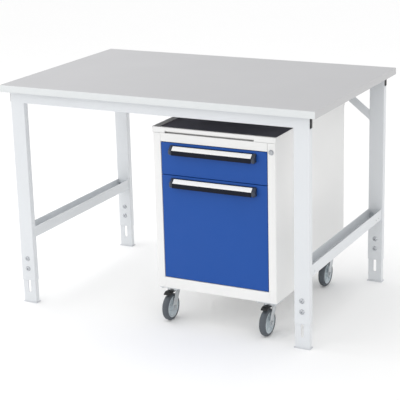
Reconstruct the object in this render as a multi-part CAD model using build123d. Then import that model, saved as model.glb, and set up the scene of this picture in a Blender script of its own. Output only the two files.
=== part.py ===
from build123d import *
import os
from math import cos, radians, sin, sqrt, tan

# Height-adjustable workbench with a two-drawer pedestal on swivel casters.
# Millimetres. +X right, +Y back, +Z up. The origin is on the floor, under the
# centre of the worktop.

# Worktop
TOP_W = 1250.0
TOP_D = 800.0
TOP_T = 25.0
TOP_Z = 850.0
BAND_T = 2.0

# Frame rails under the worktop
RAIL_H = 40.0
RAIL_D = 16.0
RAIL_SETBACK = 2.5
SHEET = 2.0
CAP_T = 3.0

# Legs: a telescopic pair, an outer channel that slides over an inner channel standing on the floor
LEG_W = 58.0
LEG_D = 25.0
LEG_X = 565.0
LEG_FRONT_Y = -376.0
LEG_REAR_Y = 357.0
LEG_END_Z = 91.0
LEG_GAP = 0.3
LIP = 9.0
INSERT_TOP_Z = 540.0
FOOT_T = 3.0
FOOT_OVER = 2.0
SLOT_W = 11.0
SLOT_Z0 = 47.0
SLOT_Z1 = 430.0
BOLT_R = 5.0
BOLT_HEAD_R = 9.5
BOLT_ZS = (137.0, 177.0)

# Channels between the front and rear legs
CROSS_W = 50.0
CROSS_H = 40.0
CROSS_Z = 260.0

# Corner braces
BRACE_W = 30.0
BRACE_T = 3.0
BRACE_Z = 650.0
BRACE_ANGLE = 38.0
BRACE_TAB = 15.0

# Pedestal carcass
PED_X0 = -27.5
PED_W = 475.0
PED_Y0 = -323.5
PED_D = 645.0
PED_Z0 = 128.0
PED_Z1 = 708.5
POST_W = 30.0
POST_D = 18.0
BASE_RAIL_H = 40.0
TOP_RAIL_H = 30.0
RAIL_SEAM = 0.8
TRAY_Z0 = 710.0
TRAY_Z1 = 730.0
TRAY_OVER = 2.5
TRAY_FOLD = 9.0
TRAY_FLOOR = 715.0
GRIP_X0 = 52.0
GRIP_X1 = 398.0
GRIP_H = 8.0
MAT_T = 3.0
RIB_PITCH = 12.0
RIB_W = 6.0

# Drawers
GAP = 2.0
UPPER_Z0 = 558.0
UPPER_Z1 = 676.0
LOWER_Z0 = 170.0
LOWER_Z1 = 556.0
FRONT_D = 18.0
BOX_W = 390.0
BOX_D = 570.0
BOX_T = 1.5
UPPER_BOX_H = 92.0
LOWER_BOX_H = 340.0
BOX_LIFT = 12.0

# Drawer slides
SLIDE_L = 550.0
SLIDE_H = 44.0
SLIDE_T = 1.4
SLIDE_Z_UPPER = 610.0
SLIDE_Z_LOWER = 360.0
SPACER_H = 40.0
SPACER_L = 40.0

# Handles
HANDLE_L = 334.0
HANDLE_CAP = 13.0
HANDLE_DROP = 9.0
HANDLE_H = 31.0
HANDLE_OUT = 22.0
HANDLE_BACK = 7.0
HANDLE_NOSE = 15.0
HANDLE_T = 2.5
LABEL_T = 0.8
LABEL_EDGE = 1.5

# Lock
LOCK_X = 432.0
LOCK_Z = 677.0
LOCK_R = 9.5
LOCK_CORE_R = 6.5
LOCK_SLEEVE_R = 8.0

# Casters
WHEEL_R = 50.0
TYRE_W = 26.0
DISC_R = 40.0
HUB_R = 13.0
HUB_W = 30.0
RIM_T = 5.0
HUB_EDGE = 3.0
DISH = 10.0
TRAIL = 34.0
CASTER_INSET_X = 43.0
CASTER_INSET_Y = 46.0
PLATE_W = 84.0
PLATE_T = 4.0
HEAD_R = 27.0
HEAD_Z0 = 110.0
HEAD_Z1 = 119.5
FORK_T = 2.5
AXLE_R = 5.0
RUN = 0.06
PEDAL_PIVOT_Y = -14.0
PEDAL_PIVOT_Z = 107.0
PEDAL_W = 25.0

os.makedirs("parts", exist_ok=True)

UNDER_TOP = TOP_Z - TOP_T
RAIL_Z0 = UNDER_TOP - RAIL_H
PED_CX = PED_X0 + PED_W / 2
PED_X1 = PED_X0 + PED_W
PED_Y1 = PED_Y0 + PED_D
OPEN_HALF = PED_W / 2 - POST_W
SLIDE_Y0 = PED_Y0 + FRONT_D + 4.0


def block(x0, x1, y0, y1, z0, z1):
    """An axis-aligned block between two corners."""
    size = (abs(x1 - x0), abs(y1 - y0), abs(z1 - z0))
    middle = ((x0 + x1) / 2, (y0 + y1) / 2, (z0 + z1) / 2)
    return Pos(*middle) * Box(*size)


def rod(p, r, length, axis):
    """A round bar centred on p along axis x, y or z."""
    turn = {"x": Rot(0, 90, 0), "y": Rot(90, 0, 0), "z": Rot(0, 0, 0)}[axis]
    return Pos(*p) * turn * Cylinder(r, length)


def plate_x(points, x0, x1):
    """A flat plate whose outline lies in the YZ plane, between x0 and x1."""
    wire = Polyline(*[(x0, y, z) for y, z in points], close=True)
    return extrude(make_face(wire), amount=x1 - x0, dir=(1, 0, 0))


def plate_y(points, y0, y1):
    """A flat plate whose outline lies in the XZ plane, between y0 and y1."""
    wire = Polyline(*[(x, y0, z) for x, z in points], close=True)
    return extrude(make_face(wire), amount=y1 - y0, dir=(0, 1, 0))


def save(name, solids):
    """Write one node. A list of separate solids goes out as one group."""
    if not isinstance(solids, (list, tuple)):
        solids = [solids]
    flat = []
    for item in solids:
        flat.extend(item.solids())
    shape = flat[0] if len(flat) == 1 else Compound(children=flat)
    export_step(shape, "parts/" + name + ".step")


def mirror_x(shape):
    """The same piece on the other side of the bench."""
    return mirror(shape, about=Plane.YZ)


# Worktop and its edging ----------------------------------------------------

def top_screw_points():
    """Where the rails are screwed up into the worktop."""
    rows = [y0 + RAIL_SETBACK + RAIL_D / 2 for y0 in (LEG_FRONT_Y, LEG_REAR_Y)]
    return [(x, y) for y in rows for x in (-480.0, -160.0, 160.0, 480.0)]


SCREW_R = 2.5
SCREW_DEPTH = 18.0


def top_board():
    half_w = TOP_W / 2 - BAND_T
    half_d = TOP_D / 2 - BAND_T
    board = block(-half_w, half_w, -half_d, half_d, UNDER_TOP, TOP_Z)
    for x, y in top_screw_points():
        hole = rod((x, y, UNDER_TOP + SCREW_DEPTH / 2), SCREW_R, SCREW_DEPTH, "z")
        board -= hole
    return board


def edge_band():
    corner_r = 2.5
    outer = block(-TOP_W / 2, TOP_W / 2, -TOP_D / 2, TOP_D / 2, UNDER_TOP, TOP_Z)
    outer = fillet(outer.edges().filter_by(Axis.Z), corner_r)
    half_w = TOP_W / 2 - BAND_T
    half_d = TOP_D / 2 - BAND_T
    return outer - block(-half_w, half_w, -half_d, half_d, UNDER_TOP - 1, TOP_Z + 1)


def top_screws():
    head_t = 3.0
    head_r = 5.5
    under_flange = UNDER_TOP - SHEET
    screws = []
    for x, y in top_screw_points():
        length = SCREW_DEPTH + SHEET
        shank = rod((x, y, under_flange + length / 2), SCREW_R, length, "z")
        head = rod((x, y, under_flange - head_t / 2), head_r, head_t, "z")
        screws.append(shank + head)
    return screws


# Frame ---------------------------------------------------------------------

def frame_rail(leg_y):
    """A channel laid on its side inside the leg tops, web to the front, lips turned in behind."""
    half = LEG_X + LEG_W / 2
    y0 = leg_y + RAIL_SETBACK
    y1 = y0 + RAIL_D
    rail = block(-half, half, y0, y0 + SHEET, RAIL_Z0, UNDER_TOP)
    rail += block(-half, half, y0, y1, RAIL_Z0, RAIL_Z0 + SHEET)
    rail += block(-half, half, y0, y1, UNDER_TOP - SHEET, UNDER_TOP)
    rail += block(-half, half, y1 - SHEET, y1, RAIL_Z0, RAIL_Z0 + LIP)
    rail += block(-half, half, y1 - SHEET, y1, UNDER_TOP - LIP, UNDER_TOP)
    for x, y in top_screw_points():
        if y0 < y < y1:
            rail -= rod((x, y, UNDER_TOP), SCREW_R, SHEET * 4, "z")
    return rail


def rail_end_caps():
    """Plastic caps that close the four rail ends, each with a plug behind."""
    plug_l = 12.0
    room = SHEET + 0.2
    half = LEG_X + LEG_W / 2
    caps = []
    for leg_y in (LEG_FRONT_Y, LEG_REAR_Y):
        y0 = leg_y + RAIL_SETBACK
        y1 = y0 + RAIL_D
        face = block(half, half + CAP_T, y0, y1, RAIL_Z0, UNDER_TOP)
        face = fillet(face.edges().filter_by(Axis.X), 2.0)
        plug = block(half - plug_l, half, y0 + room, y1 - room, RAIL_Z0 + room, UNDER_TOP - room)
        caps.append(face + plug)
        caps.append(mirror_x(face + plug))
    return caps


def channel_leg(x, y0, wall, inset, z0, z1):
    """An upright channel with its web to the front and two lips behind."""
    half = LEG_W / 2 - inset
    front = y0 + inset
    back = y0 + LEG_D - inset
    leg = block(x - half, x + half, front, front + wall, z0, z1)
    for side in (-1, 1):
        outer = x + side * half
        leg += block(outer, outer - side * wall, front, back, z0, z1)
        leg += block(outer, outer - side * LIP, back - wall, back, z0, z1)
    return leg


def outer_leg(x, y0):
    """The outer channel, notched at the top for the rail and drilled for the clamp bolts."""
    leg = channel_leg(x, y0, SHEET, 0.0, LEG_END_Z, UNDER_TOP)
    edges = leg.edges().filter_by(Axis.Z)
    corners = [e for e in edges if abs(e.center().Y - y0) < 0.1]
    leg = fillet([e for e in corners if abs(abs(e.center().X - x) - LEG_W / 2) < 0.1], 1.5)
    rail_y = y0 + RAIL_SETBACK
    leg -= block(x - LEG_W, x + LEG_W, rail_y, y0 + LEG_D + 1, RAIL_Z0, UNDER_TOP + 1)
    for z in BOLT_ZS:
        leg -= rod((x, y0, z), BOLT_R + 0.3, SHEET * 3, "y")
    return leg


def inner_leg(x, y0):
    inset = SHEET + LEG_GAP
    leg = channel_leg(x, y0, SHEET, inset, FOOT_T, INSERT_TOP_Z)
    slot_l = SLOT_Z1 - SLOT_Z0
    slot = block(x - SLOT_W / 2, x + SLOT_W / 2, y0, y0 + inset + SHEET + 1, SLOT_Z0, SLOT_Z1)
    for z in (SLOT_Z0, SLOT_Z0 + slot_l):
        slot += rod((x, y0 + inset, z), SLOT_W / 2, inset + 3, "y")
    return leg - slot


def foot_pads():
    """Glides pushed into the lower ends of the four inner channels."""
    plug_h = 20.0
    room = 2 * SHEET + LEG_GAP + 0.2
    pads = []
    for x in (-LEG_X, LEG_X):
        for y0 in (LEG_FRONT_Y, LEG_REAR_Y):
            side = LEG_W / 2 + FOOT_OVER
            pad = block(x - side, x + side, y0 - FOOT_OVER, y0 + LEG_D + FOOT_OVER, 0, FOOT_T)
            pad = fillet(pad.edges().filter_by(Axis.Z), 3.0)
            half = LEG_W / 2 - room
            pad += block(x - half, x + half, y0 + room, y0 + LEG_D - room, FOOT_T, FOOT_T + plug_h)
            pads.append(pad)
    return pads


def leg_bolt_points():
    return [(x, y0, z) for x in (-LEG_X, LEG_X)
            for y0 in (LEG_FRONT_Y, LEG_REAR_Y) for z in BOLT_ZS]


def clamp_bolts():
    """Two domed bolts per leg clamp the outer channel to the inner one."""
    head_t = 4.5
    shank_l = 14.0
    bolts = []
    for x, y0, z in leg_bolt_points():
        head = rod((x, y0 - head_t / 2, z), BOLT_HEAD_R, head_t, "y")
        head = fillet(head.edges().sort_by(Axis.Y)[0], 2.5)
        socket = rod((x, y0 - head_t, z), 3.0, 4.0, "y")
        shank = rod((x, y0 + shank_l / 2, z), BOLT_R, shank_l, "y")
        bolts.append(head + shank - socket)
    return bolts


def clamp_nuts():
    """Square nuts inside the inner channels, on the clamp bolts."""
    nut_w = 18.0
    nut_t = 6.0
    front = 2 * SHEET + LEG_GAP + 0.3
    nuts = []
    for x, y0, z in leg_bolt_points():
        y = y0 + front
        nut = block(x - nut_w / 2, x + nut_w / 2, y, y + nut_t, z - nut_w / 2, z + nut_w / 2)
        nuts.append(nut - rod((x, y + nut_t / 2, z), BOLT_R, nut_t * 2, "y"))
    return nuts


CROSS_BOLT_R = 4.0
CROSS_BOLT_X = 12.0
CROSS_END_T = 3.0


def cross_bolt_points(x):
    z = CROSS_Z + CROSS_H / 2
    return [(x + side * CROSS_BOLT_X, z) for side in (-1, 1)]


def cross_rail(x):
    """A channel open at the top, with a bolted plate across each end and spare fixing holes outside."""
    y0 = LEG_FRONT_Y + LEG_D
    y1 = LEG_REAR_Y
    half = CROSS_W / 2
    top = CROSS_Z + CROSS_H
    rail = block(x - half, x + half, y0, y1, CROSS_Z, CROSS_Z + SHEET)
    for side in (-1, 1):
        rail += block(x + side * half, x + side * (half - SHEET), y0, y1, CROSS_Z, top)
    rail += block(x - half, x + half, y0, y0 + CROSS_END_T, CROSS_Z, top)
    rail += block(x - half, x + half, y1 - CROSS_END_T, y1, CROSS_Z, top)
    for bx, z in cross_bolt_points(x):
        rail -= rod((bx, y0, z), CROSS_BOLT_R, CROSS_END_T * 3, "y")
        rail -= rod((bx, y1, z), CROSS_BOLT_R, CROSS_END_T * 3, "y")
    outer = x + (half if x > 0 else -half)
    fixing_r = 3.5
    fixing_z = CROSS_Z + 12.0
    for y in (y0 + 30.0, y1 - 30.0, y1 - 60.0):
        rail -= rod((outer, y, fixing_z), fixing_r, SHEET * 3, "x")
    return rail


def cross_rail_bolts():
    """Hexagon bolts inside the channel ends, two at each leg."""
    head_t = 5.0
    bolts = []
    for x in (-LEG_X, LEG_X):
        for bx, z in cross_bolt_points(x):
            ends = ((LEG_FRONT_Y + LEG_D + CROSS_END_T, -1), (LEG_REAR_Y - CROSS_END_T, 1))
            for y, way in ends:
                head = Pos(bx, y, z) * Rot(90 * way, 0, 0) * extrude(RegularPolygon(7.5, 6), head_t)
                shank = rod((bx, y + way * CROSS_END_T / 2, z), CROSS_BOLT_R, CROSS_END_T, "y")
                bolts.append(head + shank)
    return bolts


def brace():
    """A flat strip from the rear leg up to the rear rail, with two folded tabs."""
    slope = tan(radians(BRACE_ANGLE))
    x_leg = LEG_X - LEG_W / 2
    z_low = BRACE_Z
    z_high = BRACE_Z + BRACE_W / cos(radians(BRACE_ANGLE))
    x_high = x_leg - (RAIL_Z0 - z_high) / slope
    x_low = x_leg - (RAIL_Z0 - z_low) / slope
    y0 = LEG_REAR_Y + 3.0
    outline = ((x_leg, z_low), (x_leg, z_high), (x_high, RAIL_Z0), (x_low, RAIL_Z0))
    strip = plate_y(outline, y0, y0 + BRACE_T)
    strip += block(x_leg - BRACE_T, x_leg, y0, y0 + BRACE_TAB, z_low, z_high)
    strip += block(x_low, x_high, y0, y0 + BRACE_TAB, RAIL_Z0 - BRACE_T, RAIL_Z0)
    return strip


# Pedestal carcass ------------------------------------------------------------

WALL = 1.5


def side_panel(x0, x1):
    return block(x0, x1, PED_Y0 + SHEET, PED_Y1 - SHEET, PED_Z0, PED_Z1)


def front_posts():
    """The painted uprights each side of the drawers, with the lock in the right one."""
    top = PED_Z1
    posts = []
    for x0, inner in ((PED_X0, PED_X0 + POST_W), (PED_X1, PED_X1 - POST_W)):
        way = 1 if inner > x0 else -1
        post = block(x0, inner, PED_Y0, PED_Y0 + SHEET, PED_Z0, top)
        post += block(inner, inner - way * SHEET, PED_Y0, PED_Y0 + POST_D, PED_Z0, top)
        if way < 0:
            post -= rod((LOCK_X, PED_Y0, LOCK_Z), LOCK_SLEEVE_R, SHEET * 4, "y")
        posts.append(post)
    return posts


def back_panel():
    return block(PED_X0, PED_X1, PED_Y1 - SHEET, PED_Y1, PED_Z0, PED_Z1)


def base_panel():
    """The floor of the carcass and the rail under the lower drawer."""
    inner0 = PED_X0 + WALL
    inner1 = PED_X1 - WALL
    front = PED_Y0 + POST_D
    base = block(inner0, inner1, front, PED_Y1 - SHEET, PED_Z0, PED_Z0 + SHEET)
    half = OPEN_HALF
    rail_top = PED_Z0 + BASE_RAIL_H
    base += block(PED_CX - half, PED_CX + half, PED_Y0, PED_Y0 + SHEET, PED_Z0, rail_top)
    base += block(PED_CX - half, PED_CX + half, PED_Y0, front + SHEET, PED_Z0, PED_Z0 + SHEET)
    base += block(PED_CX - half, PED_CX + half, PED_Y0, PED_Y0 + POST_D, rail_top - SHEET, rail_top)
    return base


def top_panel():
    """The roof of the carcass and the rail above the upper drawer."""
    inner0 = PED_X0 + WALL
    inner1 = PED_X1 - WALL
    front = PED_Y0 + POST_D
    roof = block(inner0, inner1, front, PED_Y1 - SHEET, PED_Z1 - SHEET, PED_Z1)
    half = OPEN_HALF
    rail_z = PED_Z1 - TOP_RAIL_H
    face = half - RAIL_SEAM
    roof += block(PED_CX - face, PED_CX + face, PED_Y0, PED_Y0 + SHEET, rail_z, PED_Z1)
    roof += block(PED_CX - half, PED_CX + half, PED_Y0, front + SHEET, PED_Z1 - SHEET, PED_Z1)
    return roof


def tray_corners(inset):
    """The tray's outline, drawn in by the inset: x0, x1, y0, y1."""
    out = TRAY_OVER - inset
    return (PED_X0 - out, PED_X1 + out, PED_Y0 - out, PED_Y1 + out)


def tray():
    """A pressed tray that overhangs the carcass a little, with a grip slot in its folded front lip."""
    body = block(*tray_corners(0), TRAY_Z0, TRAY_Z1)
    body = fillet(body.edges().filter_by(Axis.Z), 3.0)
    x0, x1, y0, y1 = tray_corners(WALL)
    fold_y = PED_Y0 - TRAY_OVER + TRAY_FOLD
    body -= block(x0, x1, fold_y, y1, TRAY_FLOOR, TRAY_Z1 + 1)
    body -= block(x0, x1, y0, y1, TRAY_Z0 - 1, TRAY_FLOOR - SHEET)
    body -= block(x0, x1, y0, fold_y - WALL, TRAY_Z0 - 1, TRAY_Z1 - WALL)
    feet_h = TRAY_FLOOR - SHEET - PED_Z1
    foot_r = 8.0
    for x in (PED_X0 + 20.0, PED_X1 - 20.0):
        for y in (PED_Y0 + 30.0, PED_Y1 - 30.0):
            body += rod((x, y, PED_Z1 + feet_h / 2), foot_r, feet_h, "z")
    x0 = PED_X0 - TRAY_OVER
    front = PED_Y0 - TRAY_OVER
    grip = block(x0 + GRIP_X0, x0 + GRIP_X1, front - 1, front + 2 * WALL, TRAY_Z0 - 1, TRAY_Z0 + GRIP_H)
    return body - grip


def mat():
    """Rubber mat lying in the tray, ribbed from side to side."""
    x0, x1, _, y1 = tray_corners(WALL + 0.5)
    y0 = PED_Y0 - TRAY_OVER + TRAY_FOLD + 0.5
    core_t = MAT_T - 1.0
    sheet = block(x0, x1, y0, y1, TRAY_FLOOR, TRAY_FLOOR + core_t)
    count = int((y1 - y0 - RIB_W) // RIB_PITCH)
    ribs = [block(x0, x1, y0 + i * RIB_PITCH, y0 + i * RIB_PITCH + RIB_W,
                  TRAY_FLOOR + core_t / 2, TRAY_FLOOR + MAT_T) for i in range(count + 1)]
    return sheet + ribs


# Lock ------------------------------------------------------------------------

LOCK_PROUD = 3.0
LOCK_BACK = 16.0


def lock_bezel():
    """The bright ring of the lock, with its sleeve through the post."""
    ring = rod((LOCK_X, PED_Y0 - LOCK_PROUD / 2, LOCK_Z), LOCK_R, LOCK_PROUD, "y")
    ring = fillet(ring.edges().sort_by(Axis.Y)[0], 1.0)
    ring += rod((LOCK_X, PED_Y0 + LOCK_BACK / 2, LOCK_Z), LOCK_SLEEVE_R, LOCK_BACK, "y")
    return ring - rod((LOCK_X, PED_Y0, LOCK_Z), LOCK_CORE_R + RUN, 2 * LOCK_BACK + 8, "y")


def lock_core():
    """The turning core: a keyway in front and a short cam behind."""
    cam_t = 2.0
    key_w = 1.8
    key_h = 9.0
    y0 = PED_Y0 - LOCK_PROUD - 0.5
    y1 = PED_Y0 + LOCK_BACK + 1.0
    core = rod((LOCK_X, (y0 + y1) / 2, LOCK_Z), LOCK_CORE_R, y1 - y0, "y")
    core -= block(LOCK_X - key_w / 2, LOCK_X + key_w / 2, y0 - 1, y0 + 6, LOCK_Z - key_h / 2, LOCK_Z + key_h / 2)
    core += block(LOCK_X - 4, LOCK_X + 4, y1 - 0.5, y1 + cam_t, LOCK_Z - 12, LOCK_Z + 6)
    return core


# Drawers ---------------------------------------------------------------------

def drawer_front(z0, z1):
    """A pressed front: a face plate with its four edges folded back."""
    half = OPEN_HALF - GAP
    x0 = PED_CX - half
    x1 = PED_CX + half
    y1 = PED_Y0 + FRONT_D
    face = block(x0, x1, PED_Y0, y1, z0, z1)
    face -= block(x0 + WALL, x1 - WALL, PED_Y0 + WALL, y1 + 1, z0 + WALL, z1 - WALL)
    face += block(x0, x1, y1 - WALL, y1, z0, z1)
    edges = face.edges().filter_by(Axis.Z)
    corners = [e for e in edges if abs(e.center().Y - PED_Y0) < 0.1]
    return fillet(corners, 1.2)


def drawer_box(z0, height):
    """An open steel box with its top edges turned over."""
    y0 = PED_Y0 + FRONT_D
    y1 = y0 + BOX_D
    half = BOX_W / 2
    x0 = PED_CX - half
    x1 = PED_CX + half
    box = block(x0, x1, y0, y1, z0, z0 + height)
    box -= block(x0 + BOX_T, x1 - BOX_T, y0 + BOX_T, y1 - BOX_T, z0 + BOX_T, z0 + height + 1)
    hem = 5.0
    for side, way in ((x0, 1), (x1, -1)):
        box += block(side, side + way * hem, y0, y1, z0 + height - BOX_T, z0 + height)
    return box


def grip_line():
    """The outside of the grip's section, from the front plate forward and down, as (y, z)."""
    return ((0.0, 0.0), (-HANDLE_BACK, 0.0), (-HANDLE_OUT, -HANDLE_NOSE), (-HANDLE_OUT, -HANDLE_H))


def handle_bar(z_top):
    """The grip: a moulded hook with a sloping label face, open underneath for the fingers."""
    t = HANDLE_T
    behind_nose = -HANDLE_OUT + t
    inside = ((behind_nose, -HANDLE_H), (behind_nose, -HANDLE_NOSE - 1.0), (-HANDLE_BACK, -2 * t), (0.0, -2 * t))
    outline = [(PED_Y0 + y, z_top + z) for y, z in grip_line() + inside]
    half = HANDLE_L / 2 - HANDLE_CAP
    return plate_x(outline, PED_CX - half, PED_CX + half)


def handle_caps(z_top):
    """Moulded ends that close the grip."""
    low = -HANDLE_H - 1.0
    pts = ((0.0, 1.0), (-HANDLE_BACK - 1.0, 1.0), (-HANDLE_OUT - 1.5, -HANDLE_NOSE + 1.0))
    pts += ((-HANDLE_OUT - 1.5, low + 6.0), (-0.8 * HANDLE_OUT, low), (0.0, low))
    outline = [(PED_Y0 + y, z_top + z) for y, z in pts]
    half = HANDLE_L / 2
    caps = []
    for x0 in (PED_CX - half, PED_CX + half - HANDLE_CAP):
        caps.append(plate_x(outline, x0, x0 + HANDLE_CAP))
    return caps


def label_strip(z_top):
    """The plain label insert on the sloping face of the grip."""
    run = HANDLE_OUT - HANDLE_BACK
    length = sqrt(run ** 2 + HANDLE_NOSE ** 2)
    along = (-run / length, -HANDLE_NOSE / length)
    out = (along[1], -along[0])
    half = HANDLE_L / 2 - HANDLE_CAP - 0.5
    ends = []
    first = LABEL_EDGE
    last = length - LABEL_EDGE
    for step, lift in ((first, 0), (last, 0), (last, LABEL_T), (first, LABEL_T)):
        y = PED_Y0 - HANDLE_BACK + along[0] * step + out[0] * lift
        z = z_top + along[1] * step + out[1] * lift
        ends.append((y, z))
    return plate_x(ends, PED_CX - half, PED_CX + half)


# Slides ----------------------------------------------------------------------

def slide_outer(side, z):
    """The fixed member: a channel facing the drawer."""
    x = PED_CX + side * OPEN_HALF
    y0 = SLIDE_Y0
    y1 = y0 + SLIDE_L
    half = SLIDE_H / 2
    flange = 9.0
    member = block(x, x - side * SLIDE_T, y0, y1, z - half, z + half)
    for way in (-1, 1):
        edge = z + way * half
        member += block(x, x - side * flange, y0, y1, edge, edge - way * SLIDE_T)
    return member


def slide_middle(side, z):
    """The travelling member, which moves half as far as the drawer."""
    x = PED_CX + side * (OPEN_HALF - SLIDE_T - 1.4)
    y0 = SLIDE_Y0
    y1 = y0 + SLIDE_L
    half = SLIDE_H / 2 - SLIDE_T - 1.8
    flange = 8.0
    member = block(x, x - side * SLIDE_T, y0, y1, z - half, z + half)
    for way in (-1, 1):
        edge = z + way * half
        member += block(x, x - side * flange, y0, y1, edge, edge - way * SLIDE_T)
    return member


def slide_inner(side, z):
    """The member screwed to the side of the drawer."""
    x_box = PED_CX + side * BOX_W / 2
    x_in = PED_CX + side * (OPEN_HALF - 2 * SLIDE_T - 2.9)
    y0 = SLIDE_Y0
    y1 = y0 + SLIDE_L
    half = SLIDE_H / 2 - 2 * SLIDE_T - 3.4
    member = block(x_in, x_in - side * SLIDE_T, y0, y1, z - half, z + half)
    member += block(x_in, x_box, y0, y1, z - half, z - half + SLIDE_T)
    member += block(x_in, x_box, y0, y1, z + half - SLIDE_T, z + half)
    return member


def slide_spacers():
    """Folded spacers that carry the fixed members inboard of the posts."""
    spacers = []
    y_front = SLIDE_Y0 + 36.0
    y_rear = y_front + SLIDE_L - 120.0
    for side in (-1, 1):
        x_wall = PED_CX + side * (PED_W / 2 - WALL)
        x_slide = PED_CX + side * OPEN_HALF
        for z in (SLIDE_Z_UPPER, SLIDE_Z_LOWER):
            for y in (y_front, y_rear):
                half = SPACER_H / 2
                hat = block(x_wall, x_slide, y, y + SPACER_L, z - half, z + half)
                hat -= block(x_wall, x_slide + side * WALL, y - 1, y + SPACER_L + 1,
                             z - half + WALL, z + half - WALL)
                spacers.append(hat)
    return spacers


# Casters ---------------------------------------------------------------------

def caster_places():
    """Pivot positions: front left, front right, rear left, rear right."""
    xs = (PED_X0 + CASTER_INSET_X, PED_X1 - CASTER_INSET_X)
    ys = (PED_Y0 + CASTER_INSET_Y, PED_Y1 - CASTER_INSET_Y)
    return {"fl": (xs[0], ys[0]), "fr": (xs[1], ys[0]), "rl": (xs[0], ys[1]), "rr": (xs[1], ys[1])}


def caster_plate():
    """The bolted plate with its bearing ring and pivot pin."""
    half = PLATE_W / 2
    z0 = PED_Z0 - PLATE_T
    plate = block(-half, half, -half, half, z0, PED_Z0)
    plate = fillet(plate.edges().filter_by(Axis.Z), 8.0)
    ring = rod((0, 0, (z0 + HEAD_Z1 + 0.5) / 2), HEAD_R - 2, z0 - HEAD_Z1 - 0.5, "z")
    pin = rod((0, 0, (z0 + HEAD_Z0) / 2), AXLE_R, z0 - HEAD_Z0, "z")
    plate = plate + ring + pin
    bolt_at = 32.0
    head_t = 4.5
    bolt = extrude(RegularPolygon(6.0, 6), head_t)
    for x in (-bolt_at, bolt_at):
        for y in (-bolt_at, bolt_at):
            plate += Pos(x, y, z0 - head_t) * bolt
    return plate


def caster_fork(braked):
    """The swivelling head and its two arms, with the axle bolt."""
    head = rod((0, 0, (HEAD_Z0 + HEAD_Z1) / 2), HEAD_R, HEAD_Z1 - HEAD_Z0, "z")
    head = fillet(head.edges().sort_by(Axis.Z)[-1], 2.5)
    arm_in = HUB_W / 2 + 0.5
    axle_z = WHEEL_R
    arms = None
    outline = ((14.0, HEAD_Z1 - 5), (-22.0, HEAD_Z1 - 5), (-TRAIL - 13.0, axle_z + 6.0),
               (-TRAIL - 11.0, axle_z - 8.0), (-TRAIL, axle_z - 13.0), (-TRAIL + 11.0, axle_z - 8.0),
               (-4.0, HEAD_Z0 - 26.0))
    for side in (-1, 1):
        inner = side * arm_in
        outer = side * (arm_in + FORK_T)
        arm = plate_x(outline, min(inner, outer), max(inner, outer))
        arms = arm if arms is None else arms + arm
    fork = head + arms
    fork -= rod((0, 0, HEAD_Z0), AXLE_R + RUN, 60, "z")
    fork -= rod((0, -TRAIL, axle_z), AXLE_R, 80, "x")
    if braked:
        fork -= rod((0, PEDAL_PIVOT_Y, PEDAL_PIVOT_Z), 2.5 + RUN, 80, "x")
    return fork


def caster_axle():
    """The axle bolt and its nut."""
    span = HUB_W + 1.0 + 2 * FORK_T
    axle = rod((0, -TRAIL, WHEEL_R), AXLE_R, span, "x")
    ends = (Pos(span / 2, -TRAIL, WHEEL_R) * Rot(0, 90, 0), Pos(-span / 2, -TRAIL, WHEEL_R) * Rot(0, -90, 0))
    for place in ends:
        axle += place * extrude(RegularPolygon(8.0, 6), 4.5)
    return axle


def wheel_disc():
    """The wheel centre: a rim, a web and a hub, with five lightening pockets."""
    half = TYRE_W / 2
    centre = (0, -TRAIL, WHEEL_R)
    disc = rod(centre, DISC_R, TYRE_W - 4, "x")
    for side in (-1, 1):
        groove = Pos(side * (half - 3), -TRAIL, WHEEL_R) * Rot(0, 90, 0)
        disc -= groove * (Cylinder(DISC_R - RIM_T, DISH) - Cylinder(HUB_R + HUB_EDGE, DISH))
    disc += rod(centre, HUB_R, HUB_W, "x")
    pockets = 5
    pocket_r = 6.0
    pitch_r = (DISC_R + HUB_R) / 2
    for i in range(pockets):
        a = radians(360 / pockets * i + 90)
        disc -= rod((0, -TRAIL + pitch_r * cos(a), WHEEL_R + pitch_r * sin(a)), pocket_r, 60, "x")
    return disc - rod(centre, AXLE_R + RUN, 60, "x")


def tyre():
    centre = (0, -TRAIL, WHEEL_R)
    ring = rod(centre, WHEEL_R, TYRE_W, "x")
    ring = fillet(ring.edges().filter_by(GeomType.CIRCLE), 6.0)
    return ring - rod(centre, DISC_R, 60, "x")


def brake_pedal():
    """A moulded foot lever over the tyre, hinged between the fork arms."""
    y = PEDAL_PIVOT_Y
    z = PEDAL_PIVOT_Z
    outline = ((y + 4, z - 2), (y - 12, z - 1.5), (y - 28, z - 1.5), (y - 42, z - 5), (y - 50, z - 4),
               (y - 48, z + 1), (y - 34, z + 6), (y - 20, z + 5), (y - 14, z + 2.5), (y + 4, z + 2))
    half = PEDAL_W / 2
    lever = plate_x(outline, -half, half)
    lever += rod((0, y, z), 2.5, HUB_W + 1.0 + 2 * FORK_T, "x")
    return lever


def save_bench():
    save("top_board", top_board())
    save("edge_band", edge_band())
    save("top_screws", top_screws())
    save("front_rail", frame_rail(LEG_FRONT_Y))
    save("rear_rail", frame_rail(LEG_REAR_Y))
    save("rail_end_caps", rail_end_caps())
    save("legs_front", [outer_leg(-LEG_X, LEG_FRONT_Y), outer_leg(LEG_X, LEG_FRONT_Y)])
    save("legs_rear", [outer_leg(-LEG_X, LEG_REAR_Y), outer_leg(LEG_X, LEG_REAR_Y)])
    save("inserts_front", [inner_leg(-LEG_X, LEG_FRONT_Y), inner_leg(LEG_X, LEG_FRONT_Y)])
    save("inserts_rear", [inner_leg(-LEG_X, LEG_REAR_Y), inner_leg(LEG_X, LEG_REAR_Y)])
    save("foot_pads", foot_pads())
    save("clamp_bolts", clamp_bolts())
    save("clamp_nuts", clamp_nuts())
    save("cross_rails", [cross_rail(-LEG_X), cross_rail(LEG_X)])
    save("cross_rail_bolts", cross_rail_bolts())
    save("braces", [brace(), mirror_x(brace())])


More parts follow.
